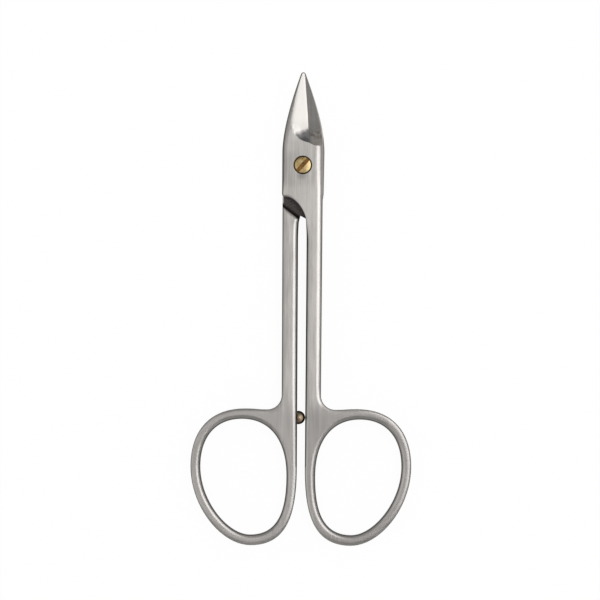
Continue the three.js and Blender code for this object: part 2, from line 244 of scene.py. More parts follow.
class Pen:
    """Draws an outline as Bezier knots: the place of each, and its handles before and after."""

    def __init__(self, x, y):
        self.knots = [[Vector((x, y, 0)), None, None]]

    def curve(self, first, second, end):
        self.knots[-1][2] = Vector((*first, 0))
        self.knots.append([Vector((*end, 0)), Vector((*second, 0)), None])

    def line(self, *end):
        start = self.knots[-1][0].xy
        stretch = Vector(end) - start
        self.curve(start + stretch / 3, start + stretch * 2 / 3, end)

    def arc(self, centre, radius, start, end):
        pieces = math.ceil(abs(end - start) / 90)
        turn = math.radians(end - start) / pieces
        reach = 4 / 3 * math.tan(turn / 4)
        for piece in range(pieces):
            begin = math.radians(start) + piece * turn
            spoke = Vector((math.cos(begin), math.sin(begin)))
            far_spoke = Vector((math.cos(begin + turn), math.sin(begin + turn)))
            near = Vector(centre) + radius * (spoke + reach * spoke.orthogonal())
            far = Vector(centre) + radius * (far_spoke - reach * far_spoke.orthogonal())
            self.curve(near, far, Vector(centre) + radius * far_spoke)

    def quarter(self, start, end, starts_level):
        """The part of an oval between two of its outermost points."""
        across = math.copysign(1, end[0] - start[0])
        along = math.copysign(1, end[1] - start[1])
        if starts_level:
            first = (start[0] + across * start[3], start[1])
            second = (end[0], end[1] - along * end[2])
        else:
            first = (start[0], start[1] + along * start[3])
            second = (end[0] - across * end[2], end[1])
        self.curve(first, second, end[:2])


def deselect_all():
    bpy.ops.object.select_all(action="DESELECT")


def drawn(name, pens, smoothness, closed=True, half_height=0, scored_at=()):
    """A mesh from drawn outlines: a flat plate of that half height, or bare edges where they are open."""
    deselect_all()
    bpy.ops.curve.primitive_bezier_curve_add(radius=1)
    shape = bpy.context.object
    shape.name = name
    curve = shape.data
    curve.dimensions = "2D"
    curve.fill_mode = "BOTH" if closed else "NONE"
    curve.resolution_u = smoothness
    curve.extrude = half_height
    for index, pen in enumerate(pens):
        spline = curve.splines[0] if index == 0 else curve.splines.new("BEZIER")
        knots = pen.knots
        if closed:
            knots[0][1] = knots[-1][1]
            knots = knots[:-1]
        spline.bezier_points.add(len(knots) - len(spline.bezier_points))
        spline.use_cyclic_u = closed
        for point, (place, before, after) in zip(spline.bezier_points, knots):
            point.handle_left_type = point.handle_right_type = "FREE"
            point.co = place
            point.handle_left = before or place
            point.handle_right = after or place
    bpy.ops.object.convert(target="MESH")
    bpy.ops.object.mode_set(mode="EDIT")
    bpy.ops.mesh.select_all(action="SELECT")
    bpy.ops.mesh.remove_doubles(threshold=0.001)
    if closed:
        bpy.ops.mesh.normals_make_consistent(inside=False)
        bpy.ops.object.mode_set(mode="OBJECT")
        score(shape, scored_at)
        bpy.ops.object.mode_set(mode="EDIT")
        bpy.ops.mesh.select_all(action="SELECT")
        bpy.ops.mesh.dissolve_limited(angle_limit=math.radians(0.3), delimit={"SEAM"})
    bpy.ops.object.mode_set(mode="OBJECT")
    return shape


def use(piece):
    deselect_all()
    piece.select_set(True)
    bpy.context.view_layer.objects.active = piece


def score(piece, lengths):
    """Cuts edges across a piece at those lengths, and marks them to stay."""
    use(piece)
    bpy.ops.object.mode_set(mode="EDIT")
    for y in lengths:
        bpy.ops.mesh.select_all(action="SELECT")
        bpy.ops.mesh.bisect(plane_co=(0, y, 0), plane_no=(0, 1, 0))
        bpy.ops.mesh.mark_seam()
    bpy.ops.object.mode_set(mode="OBJECT")


def placed(piece, matrix):
    """Puts a matrix into a piece's mesh."""
    use(piece)
    piece.matrix_world = matrix
    bpy.ops.object.transform_apply(location=True, rotation=True, scale=True)
    return piece


def finished(piece, kind, **settings):
    """Adds a modifier and applies it."""
    use(piece)
    modifier = piece.modifiers.new(kind, kind)
    for key, value in settings.items():
        setattr(modifier, key, value)
    bpy.ops.object.modifier_apply(modifier=modifier.name)
    return piece


def cut(piece, tool):
    finished(piece, "BOOLEAN", object=tool, operation="DIFFERENCE", solver="EXACT")
    bpy.data.objects.remove(tool)


def smoothed(piece, angle):
    use(piece)
    bpy.ops.object.shade_smooth_by_angle(angle=math.radians(angle))
    finished(piece, "WEIGHTED_NORMAL", keep_sharp=True, weight=50)


def bar(radius, from_z, to_z, sides=96):
    deselect_all()
    middle = (0, 0, (from_z + to_z) / 2)
    bpy.ops.mesh.primitive_cylinder_add(vertices=sides, radius=radius, depth=to_z - from_z, location=middle)
    tool = bpy.context.object
    return placed(tool, tool.matrix_world.copy())


def turned(name, pen, smoothness, steps=96):
    """Spins a profile, drawn as radius and height, about the Z axis."""
    piece = drawn(name, [pen], smoothness, closed=False)
    placed(piece, Matrix.Rotation(math.pi / 2, 4, "X"))
    bpy.ops.object.mode_set(mode="EDIT")
    bpy.ops.mesh.select_all(action="SELECT")
    bpy.ops.mesh.spin(steps=steps, angle=2 * math.pi, center=(0, 0, 0), axis=(0, 0, 1))
    bpy.ops.mesh.select_all(action="SELECT")
    bpy.ops.mesh.remove_doubles(threshold=0.002)
    bpy.ops.mesh.normals_make_consistent(inside=False)
    bpy.ops.object.mode_set(mode="OBJECT")
    return piece


def front_heel(pen):
    """A hollow curve that runs out into the shank."""
    pen.curve(*FRONT_HEEL_HANDLES, (SPINE_X + HEEL_CORNER, HEEL_Y))
    pen.arc((SPINE_X + HEEL_CORNER, HEEL_Y + HEEL_CORNER), HEEL_CORNER, 270, 180)


def back_heel(pen):
    """Fuller, and reaching behind the other shank."""
    for corner in BACK_HEEL_CORNERS:
        pen.line(*corner)
    pen.curve(*BACK_HEEL_HANDLES, (BACK_HEEL_X + BACK_HEEL_TUCK, HEEL_Y))
    pen.line(BACK_HEEL_X, HEEL_Y + HEEL_CORNER)


def half_outline(heel, spine_x, spine_handle):
    """One half from tip to finger ring, clockwise from the tip, with its ring on the right."""
    tip_x = TIP_RADIUS * math.cos(TIP_FLARE)
    tip_y = TIP_Y - TIP_RADIUS + TIP_RADIUS * math.sin(TIP_FLARE)
    handle_x = tip_x + FLANK_TIP_HANDLE * math.sin(TIP_FLARE)
    handle_y = tip_y - FLANK_TIP_HANDLE * math.cos(TIP_FLARE)
    edge_handle_y = FLANK_END_Y + FLANK_ROOT_HANDLE
    crotch_x = SHANK_OUTER_X + CROTCH_RADIUS
    crotch_y = RING_TOP[1] - CROTCH_DIP
    flare = math.degrees(TIP_FLARE)
    pen = Pen(-tip_x, tip_y)
    pen.arc((0, TIP_Y - TIP_RADIUS), TIP_RADIUS, 180 - flare, flare)
    pen.curve((handle_x, handle_y), (EDGE_X, edge_handle_y), (EDGE_X, FLANK_END_Y))
    pen.line(*SHANK_BEND)
    pen.line(SHANK_OUTER_X, crotch_y + CROTCH_RADIUS)
    pen.arc((crotch_x, crotch_y + CROTCH_RADIUS), CROTCH_RADIUS, 180, 270)
    pen.curve((crotch_x + CROTCH_HANDLE, crotch_y), (RING_TOP[0] - RING_TOP[2], RING_TOP[1]), RING_TOP[:2])
    pen.quarter(RING_TOP, RING_RIGHT, True)
    pen.quarter(RING_RIGHT, RING_BOTTOM, False)
    pen.quarter(RING_BOTTOM, RING_LEFT, True)
    pen.line(*SHANK_UPPER)
    bend_y = (SHANK_UPPER[1] + SHANK_TOP[1]) / 2
    bend_x = SHANK_UPPER[0] - SHANK_EASE[0]
    pen.curve((SHANK_UPPER[0], bend_y - SHANK_EASE[1]), (bend_x, bend_y + SHANK_EASE[1]), SHANK_TOP)
    heel(pen)
    pen.line(spine_x, FLANK_END_Y)
    pen.curve((spine_x, FLANK_END_Y + spine_handle), (-handle_x, handle_y), (-tip_x, tip_y))
    return pen


def ring_hole():
    pen = Pen(*HOLE_TOP[:2])
    pen.quarter(HOLE_TOP, HOLE_RIGHT, True)
    pen.quarter(HOLE_RIGHT, HOLE_BOTTOM, False)
    pen.quarter(HOLE_BOTTOM, HOLE_LEFT, True)
    pen.quarter(HOLE_LEFT, HOLE_TOP, False)
    return pen


def between(value, low, high):
    return min(max((value - low) / (high - low), 0), 1)


def eased(share):
    return share * share * (3 - 2 * share)


def mixed(a, b, share):
    return a + (b - a) * share


def rim_at(x, y, rim_end, at_hole):
    """Width of the rounded rim at a place on an outline; the shank's inner rim thins out at its end."""
    if at_hole:
        return HOLE_RIM
    if y > FLANK_END_Y:
        return mixed(SPINE_RIM if x < 0 else JOINT_RIM, TIP_RIM, between(y, FLANK_END_Y, TIP_Y))
    if x < SHANK_UPPER[0] + 0.1 and y > SHANK_UPPER[1]:
        if y > HEEL_Y + HEEL_CORNER:
            return mixed(HEEL_RIM, SPINE_RIM, between(y, HEEL_Y + HEEL_CORNER + 0.5, SPINE_RIM_START_Y))
        along_shank = mixed(SHANK_INNER_RIM, HEEL_END_RIM, between(y, *rim_end))
        return mixed(along_shank, HEEL_RIM, between(x, *HEEL_RIM_BLEND))
    if y > HANDLE_START_Y:
        return mixed(SHANK_RIM, JOINT_RIM, between(y, HANDLE_START_Y, 0))
    on_shank = SHANK_RIM if x > SHANK_OUTER_X / 2 else SHANK_INNER_RIM
    return mixed(RING_RIM, on_shank, between(y, RING_TOP[1], RING_TOP[1] + RING_RIM_BLEND))


def rim_depth_at(x, y, at_hole):
    """How deep a rim reaches for each millimetre of its width."""
    if at_hole:
        return HOLE_RIM_DEPTH
    if y > HANDLE_START_Y:
        spine_depth = mixed(SPINE_RIM_DEPTH, INNER_RIM_DEPTH, between(y, *SPINE_DEPTH_BLEND))
        at_joint = mixed(spine_depth, OUTER_RIM_DEPTH, between(x, *JOINT_DEPTH_BLEND))
        return mixed(at_joint, TIP_RIM_DEPTH, between(y, TIP_RIM_START_Y, TIP_Y))
    on_shank = mixed(INNER_RIM_DEPTH, OUTER_RIM_DEPTH, between(x, *SHANK_DEPTH_BLEND))
    return mixed(on_shank, RING_RIM_DEPTH, between(y, RING_TOP[1] + RING_RIM_BLEND, RING_TOP[1]))


def thinned(y, start, end, end_thickness, softness):
    """How much the forging has lost in thickness at a place, with a soft knee where it starts."""
    slope = (JOINT_THICKNESS - end_thickness) / abs(end - start)
    past = (y - start) * math.copysign(1, end - start)
    if past < -softness:
        return 0
    if past < softness:
        return slope * (past + softness) ** 2 / (4 * softness)
    return slope * past


def thickness_at(y):
    towards_tip = thinned(y, BLADE_ROOT_Y, TIP_Y, TIP_THICKNESS, BLADE_KNEE)
    towards_ring = thinned(y, HANDLE_START_Y, END_Y, HANDLE_END_THICKNESS, HANDLE_KNEE)
    return JOINT_THICKNESS - towards_tip - towards_ring


def weigh_rims(mesh, lapped_rim_end):
    """Gives each edge round a plate the width of its rim, and returns the points along the finger hole."""
    faces_of = {}
    for face in mesh.polygons:
        for key in face.edge_keys:
            faces_of.setdefault(key, []).append(face.normal)
    weights = mesh.attributes.new("bevel_weight_edge", "FLOAT", "EDGE")
    ring_middle = Vector((*RING_MIDDLE, 0))
    hole_points = []
    for edge in mesh.edges:
        flat, wall = sorted(faces_of[edge.key], key=lambda normal: -abs(normal.z))
        if abs(flat.z) > 0.5 > abs(wall.z):
            ends = [mesh.vertices[index].co for index in edge.vertices]
            middle = (ends[0] + ends[1]) / 2
            rim_end = RIM_END if middle.z > 0 else lapped_rim_end
            at_hole = middle.y < HOLE_TOP[1] + 0.1 and wall.dot(middle - ring_middle) < 0
            if at_hole:
                hole_points += [(*point.xy, 0) for point in (*ends, middle)]
            rim = rim_at(middle.x, middle.y, rim_end, at_hole)
            weights.data[edge.index].value = rim / JOINT_RIM
    return hole_points


def forged_blank(name, outline, lapped_rim_end):
    """The blank of one half: rounded all along its rims, thinning towards the tip and the ring."""
    marks = [HEEL_Y + HEEL_CORNER + HEEL_MARK_SPACING * step for step in range(1, 10)]
    marks += [RING_TOP[1] + RING_MARK_HEIGHT, RING_RIGHT[1]]
    blank = drawn(name, [outline, ring_hole()], OUTLINE_STEPS, half_height=HALF_JOINT, scored_at=marks)
    hole_points = weigh_rims(blank.data, lapped_rim_end)
    hole_edge = KDTree(len(hole_points))
    for index, point in enumerate(hole_points):
        hole_edge.insert(point, index)
    hole_edge.balance()
    finished(
        blank, "BEVEL", limit_method="WEIGHT", width=JOINT_RIM, segments=RIM_SEGMENTS, profile=0.5,
        use_clamp_overlap=False, loop_slide=False,
    )
    score(blank, [BLADE_ROOT_Y + BLADE_KNEE * step / 4 for step in range(-4, 5)])
    score(blank, [HANDLE_START_Y + HANDLE_KNEE * step / 4 for step in range(-4, 5)])
    for vertex in blank.data.vertices:
        at_hole = hole_edge.find((*vertex.co.xy, 0))[2] < HOLE_RIM + RIM_TOLERANCE
        drop = (HALF_JOINT - abs(vertex.co.z)) * rim_depth_at(*vertex.co.xy, at_hole)
        vertex.co.z = math.copysign(thickness_at(vertex.co.y) / 2 - drop, vertex.co.z)
    return blank


def lap_cutter(step):
    """Takes away the far side of a half above its step, with a rounded top edge to the step."""
    outer_y, inner_y = step
    run = Vector((SHANK_OUTER_X - SHANK_TOP[0], outer_y - inner_y, 0)).normalized()
    ahead = Vector((-run.y, run.x, 0))
    face_z = LAP_GAP / 2
    low_z = -HALF_JOINT + STEP_ROUNDING
    far_end = -STEP_LEAN - STEP_ROUNDING * 1.2
    pen = Pen(2 * STONE_SIZE, face_z)
    pen.line(STEP_FILLET, face_z)
    pen.curve((STEP_FILLET * 0.4, face_z), (0, face_z - STEP_FILLET * 0.6), (0, face_z - STEP_FILLET))
    pen.line(-STEP_LEAN, low_z)
    pen.curve(
        (-STEP_LEAN - 0.08, low_z - STEP_ROUNDING * 0.5),
        (-STEP_LEAN - STEP_ROUNDING * 0.5, -HALF_JOINT),
        (far_end, -HALF_JOINT - 0.04),
    )
    pen.line(far_end, -2 * JOINT_THICKNESS)
    pen.line(2 * STONE_SIZE, -2 * JOINT_THICKNESS)
    pen.line(2 * STONE_SIZE, face_z)
    tool = drawn("lap_cutter", [pen], 10, half_height=STONE_SIZE)
    start = Vector((SHANK_OUTER_X, outer_y, 0)) + ahead * STEP_LEAN * 1.6
    basis = Matrix((ahead, Vector((0, 0, 1)), run)).transposed().to_4x4()
    return placed(tool, Matrix.Translation(start) @ basis)


def plane_height(points, x, y):
    first, second, third = (Vector(point) for point in points)
    normal = (second - first).cross(third - first)
    return first.z - (normal.x * (x - first.x) + normal.y * (y - first.y)) / normal.z


def stone_height(x, y):
    """Height of the grinding stone over a place: two flats, and a hollow that climbs to the joint face."""
    nose = eased(between(x, *NOSE_X)) * eased(between(y, *NOSE_Y))
    facet = plane_height(FACET, x, y) + NOSE_LIFT * nose
    unground = thickness_at(y) / 2 + STONE_CLEARANCE
    softened = max(FACET_FADE - abs(facet - unground), 0) ** 2 / (4 * FACET_FADE)
    floor = min(facet, unground) - softened
    floor = min(floor, plane_height(BEVEL, x, y))
    start_y = RUN_OUT_MIDDLE[1] + RUN_OUT_CURVE * (max(x, RUN_OUT_LEFT_X) - RUN_OUT_MIDDLE[0]) ** 2
    past = min(max(start_y - y, 0) * RUN_OUT_SLANT, RUN_OUT_RADIUS)
    return floor + RUN_OUT_RADIUS - math.sqrt(RUN_OUT_RADIUS ** 2 - past ** 2)


def grinding_stone():
    """A block with the ground faces as its underside, its mesh running along the ridge between them."""
    columns, rows = sum(STONE_COLUMNS), sum(STONE_ROWS)
    deselect_all()
    bpy.ops.mesh.primitive_grid_add(x_subdivisions=columns, y_subdivisions=rows, size=1)
    tool = bpy.context.object
    ridge_root, ridge_tip = Vector(BEVEL[0]), Vector(BEVEL[1])
    ridge_lean = (ridge_tip.x - ridge_root.x) / (ridge_tip.y - ridge_root.y)
    for vertex in tool.data.vertices:
        column = (vertex.co.x + 0.5) * columns - STONE_COLUMNS[0]
        row = (vertex.co.y + 0.5) * rows - STONE_ROWS[0]
        y = STONE_COARSE_Y + row * (STONE_MESH if row < 0 else STONE_COARSE_MESH)
        x = column * STONE_MESH + ridge_root.x + ridge_lean * (y - ridge_root.y)
        vertex.co = (x, y, stone_height(x, y))
    bpy.ops.object.mode_set(mode="EDIT")
    bpy.ops.mesh.select_all(action="SELECT")
    bpy.ops.mesh.extrude_region_move(TRANSFORM_OT_translate={"value": (0, 0, 2 * JOINT_THICKNESS)})
    bpy.ops.mesh.select_all(action="SELECT")
    bpy.ops.mesh.normals_make_consistent(inside=False)
    bpy.ops.object.mode_set(mode="OBJECT")
    return tool


def hollow_tool():
    """Dishes the inner face of a blade, so that only its edge meets the other one."""
    deselect_all()
    bpy.ops.mesh.primitive_uv_sphere_add(segments=64, ring_count=48, radius=1)
    tool = bpy.context.object
    middle_drop = 4 * HOLLOW_DEPTH
    half_height = middle_drop + HOLLOW_DEPTH
    cut_share = math.sqrt(1 - (middle_drop / half_height) ** 2)
    size = Matrix.Diagonal((HOLLOW_HALF_WIDTH / cut_share, HOLLOW_HALF_LENGTH / cut_share, half_height, 1))
    return placed(tool, Matrix.Translation((0, HOLLOW_Y, LAP_GAP / 2 - middle_drop)) @ size)


def ground_half(name, outline, step, lapped_rim_end):
    half = forged_blank(name, outline, lapped_rim_end)
    cut(half, lap_cutter(step))
    cut(half, grinding_stone())
    cut(half, hollow_tool())
    return half


def into_place(piece, turned_over=False):
    """Moves a piece from millimetres about the pivot to its place on the stage."""
    turn = Matrix.Rotation(math.pi if turned_over else 0, 4, "Y")
    return placed(piece, Matrix.Translation(PIVOT) @ Matrix.Scale(MILLIMETRE, 4) @ turn)


def make_front_half():
    outline = half_outline(front_heel, SPINE_X, FLANK_ROOT_HANDLE)
    half = ground_half("front_half_steel", outline, FRONT_STEP, RIM_END)
    cut(half, bar(SCREW_RADIUS + CLEARANCE, -JOINT_THICKNESS, JOINT_THICKNESS))
    cut(half, bar(HEAD_SEAT_RADIUS, HALF_JOINT - HEAD_SEAT_DEPTH, JOINT_THICKNESS))
    smoothed(half, STEEL_SMOOTHING)
    return into_place(half)


def make_back_half():
    outline = half_outline(back_heel, BACK_SPINE_X, BACK_SPINE_HANDLE)
    half = ground_half("back_half_steel", outline, BACK_STEP, BACK_LAPPED_RIM_END)
    flare = Pen(0, -JOINT_THICKNESS)
    flare.line(THREAD_RADIUS + CLEARANCE, -JOINT_THICKNESS)
    flare.line(THREAD_RADIUS + CLEARANCE, HALF_JOINT - PEEN_DEPTH)
    flare.line(PEEN_RADIUS + CLEARANCE, HALF_JOINT)
    flare.line(PEEN_RADIUS + CLEARANCE, JOINT_THICKNESS)
    flare.line(0, JOINT_THICKNESS)
    cut(half, turned("flare", flare, 1))
    pin_hole = bar(STOP_PIN_RADIUS + CLEARANCE, 0, STOP_WALL_X + STOP_PIN_LENGTH + 2 * STOP_GAP, 48)
    cut(half, placed(pin_hole, Matrix.Translation((0, STOP_Y, 0)) @ Matrix.Rotation(math.pi / 2, 4, "Y")))
    smoothed(half, STEEL_SMOOTHING)
    return into_place(half, turned_over=True)


def slot_cutter():
    """A bar across the screw's head, with rounded lower corners and a flare at the lip."""
    half = SLOT_WIDTH / 2
    floor_z = HALF_JOINT - SLOT_DEPTH
    near_corner = SLOT_CORNER * 0.4
    pen = Pen(-half + SLOT_CORNER, floor_z)
    pen.line(half - SLOT_CORNER, floor_z)
    pen.curve((half - near_corner, floor_z), (half, floor_z + near_corner), (half, floor_z + SLOT_CORNER))
    pen.line(half, HALF_JOINT + SLOT_LIP[0])
    pen.line(half + SLOT_FLARE, HALF_JOINT + SLOT_LIP[1])
    pen.line(-half - SLOT_FLARE, HALF_JOINT + SLOT_LIP[1])
    pen.line(-half, HALF_JOINT + SLOT_LIP[0])
    pen.line(-half, floor_z + SLOT_CORNER)
    pen.curve((-half, floor_z + near_corner), (-half + near_corner, floor_z), (-half + SLOT_CORNER, floor_z))
    tool = drawn("slot_cutter", [pen], 6, half_height=SLOT_REACH)
    along = Matrix.Rotation(math.radians(SLOT_ANGLE + 90), 4, "Z")
    return placed(tool, along @ Matrix.Rotation(math.pi / 2, 4, "X"))


def make_pivot_screw():
    """Slotted screw with a low domed head, a plain neck and a hammered end."""
    top_z, end_z = HALF_JOINT, -HALF_JOINT
    head_base = top_z - HEAD_DEPTH
    pen = Pen(0, end_z + PEEN_DISH)
    pen.curve((0.2, end_z + 0.11), (0.45, end_z + 0.01), (0.8, end_z))
    pen.curve((1.2, end_z), (1.44, end_z + 0.02), (PEEN_RADIUS, end_z + PEEN_EDGE))
    pen.line(THREAD_RADIUS, end_z + PEEN_DEPTH)
    pen.line(THREAD_RADIUS, 0)
    pen.line(SCREW_RADIUS, 0)
    pen.line(SCREW_RADIUS, head_base)
    pen.line(HEAD_RADIUS, head_base)
    pen.line(HEAD_RADIUS, top_z - HEAD_EDGE)
    edge_handles = ((HEAD_RADIUS, top_z - 0.09), (HEAD_RADIUS - 0.05, top_z - 0.03))
    pen.curve(*edge_handles, (HEAD_RADIUS - 0.14, top_z - 0.01))
    pen.curve((1.2, top_z + 0.075), (0.6, top_z + HEAD_DOME), (0, top_z + HEAD_DOME))
    screw = turned("pivot_screw_brass", pen, 14, steps=128)
    cut(screw, slot_cutter())
    smoothed(screw, SCREW_SMOOTHING)
    return into_place(screw)


def make_stop_rivet():
    """Rivet with a ball head that the other shank closes on, set in the back half's shank."""
    base = -STOP_WALL_X + STOP_BASE_GAP
    pin_end = base - STOP_GAP - STOP_PIN_LENGTH
    start_angle = math.degrees(math.acos((base - STOP_BALL_X) / STOP_RADIUS))
    pen = Pen(0, pin_end)
    pen.line(STOP_PIN_RADIUS, pin_end)
    pen.line(STOP_PIN_RADIUS, base)
    pen.line(STOP_RADIUS * math.sin(math.radians(start_angle)), base)
    pen.arc((0, STOP_BALL_X), STOP_RADIUS, 90 - start_angle, 90)
    rivet = turned("stop_rivet_brass", pen, 16, steps=72)
    smoothed(rivet, RIVET_SMOOTHING)
    placed(rivet, Matrix.Translation((0, STOP_Y, 0)) @ Matrix.Rotation(math.pi / 2, 4, "Y"))
    return into_place(rivet)


class Amount:
    """A number that changes over a surface, for maths written as plain expressions."""

    def __init__(self, finish, socket):
        self.finish = finish
        self.socket = socket

    def joined(self, operation, first, second):
        sockets = {0: first, 1: second}
        return self.finish.node("ShaderNodeMath", {"operation": operation}, sockets)

    def __add__(self, other):
        return self.joined("ADD", self, other)

    def __radd__(self, other):
        return self.joined("ADD", other, self)

    def __sub__(self, other):
        return self.joined("SUBTRACT", self, other)

    def __rsub__(self, other):
        return self.joined("SUBTRACT", other, self)

    def __mul__(self, other):
        return self.joined("MULTIPLY", self, other)

    def __rmul__(self, other):
        return self.joined("MULTIPLY", other, self)

    def __truediv__(self, other):
        return self.joined("DIVIDE", self, other)


class Finish:
    """A procedural finish, measured in millimetres from the pivot."""

    def __init__(self, name):
        self.material = bpy.data.materials.new(name)
        self.material.use_nodes = True
        self.tree = self.material.node_tree
        self.surface = self.tree.nodes["Principled BSDF"]
        per_metre = 1 / MILLIMETRE
        sockets = {
            "Vector": self.node("ShaderNodeTexCoord", out="Object"),
            "Scale": (per_metre, per_metre, per_metre),
            "Location": tuple(-PIVOT * per_metre),
        }
        place = self.node("ShaderNodeMapping", sockets=sockets)
        self.x, self.y, self.z = (self.component(place, axis) for axis in "XYZ")
        facing_up = self.component(self.node("ShaderNodeNewGeometry", out="Normal"), "Z")
        self.upright = self.operation("ABSOLUTE", facing_up)
        self.outward = facing_up * self.operation("SIGN", self.z)

    def node(self, kind, settings=None, sockets=None, out=0):
        node = self.tree.nodes.new(kind)
        for key, value in (settings or {}).items():
            if key == "stops":
                self.set_stops(node.color_ramp, value)
            else:
                setattr(node, key, value)
        for key, value in (sockets or {}).items():
            self.feed(node.inputs[key], value)
        return Amount(self, node.outputs[out])

    def set_stops(self, ramp, stops):
        while len(ramp.elements) < len(stops):
            ramp.elements.new(1)
        for element, (place, colour) in zip(ramp.elements, stops):
            element.position = place
            element.color = (*colour, 1)

    def feed(self, socket, value):
        if isinstance(value, Amount):
            self.tree.links.new(value.socket, socket)
        elif socket.type == "RGBA":
            socket.default_value = (*value, 1)
        else:
            socket.default_value = value

    def component(self, vector, axis):
        return self.node("ShaderNodeSeparateXYZ", sockets={"Vector": vector}, out=axis)

    def operation(self, name, *values):
        return self.node("ShaderNodeMath", {"operation": name}, dict(enumerate(values)))

    def above(self, value, limit):
        """How far a value lies above a limit."""
        return self.operation("MAXIMUM", value - limit, 0)

    def distance(self, across, along):
        return self.operation("SQRT", across * across + along * along)

    def step(self, value, low, high):
        """0 at low, 1 at high and smooth between, whichever of the two is larger."""
        sockets = {"Value": value, "From Min": low, "From Max": high}
        return self.node("ShaderNodeMapRange", {"interpolation_type": "SMOOTHSTEP"}, sockets)

    def blend(self, a, b, share):
        return self.node("ShaderNodeMix", {"data_type": "FLOAT"}, {"A": a, "B": b, "Factor": share})

    def vector(self, x, y, z):
        return self.node("ShaderNodeCombineXYZ", sockets={"X": x, "Y": y, "Z": z})

    def noise(self, place, detail=3, roughness=0.55):
        sockets = {"Vector": place, "Scale": 1, "Detail": detail, "Roughness": roughness}
        return self.node("ShaderNodeTexNoise", {"normalize": True}, sockets)

    def speckle(self, density, detail, roughness=0.55):
        """Noise that is as dense in every direction."""
        place = self.vector(self.x * density, self.y * density, self.z * density)
        return self.noise(place, detail, roughness)

    def ramp(self, value, *stops):
        return self.node("ShaderNodeValToRGB", {"stops": stops}, {"Fac": value})

    def tint(self, a, b, share):
        """Mixes two colours."""
        sockets = {6: a, 7: b, 0: share}
        return self.node("ShaderNodeMix", {"data_type": "RGBA"}, sockets, out=2)

    def bump(self, height, depth):
        sockets = {"Height": height, "Strength": 1, "Distance": depth * MILLIMETRE}
        return self.node("ShaderNodeBump", sockets=sockets)

    def coat(self, **sockets):
        for key, value in sockets.items():
            self.feed(self.surface.inputs[key.replace("_", " ")], value)


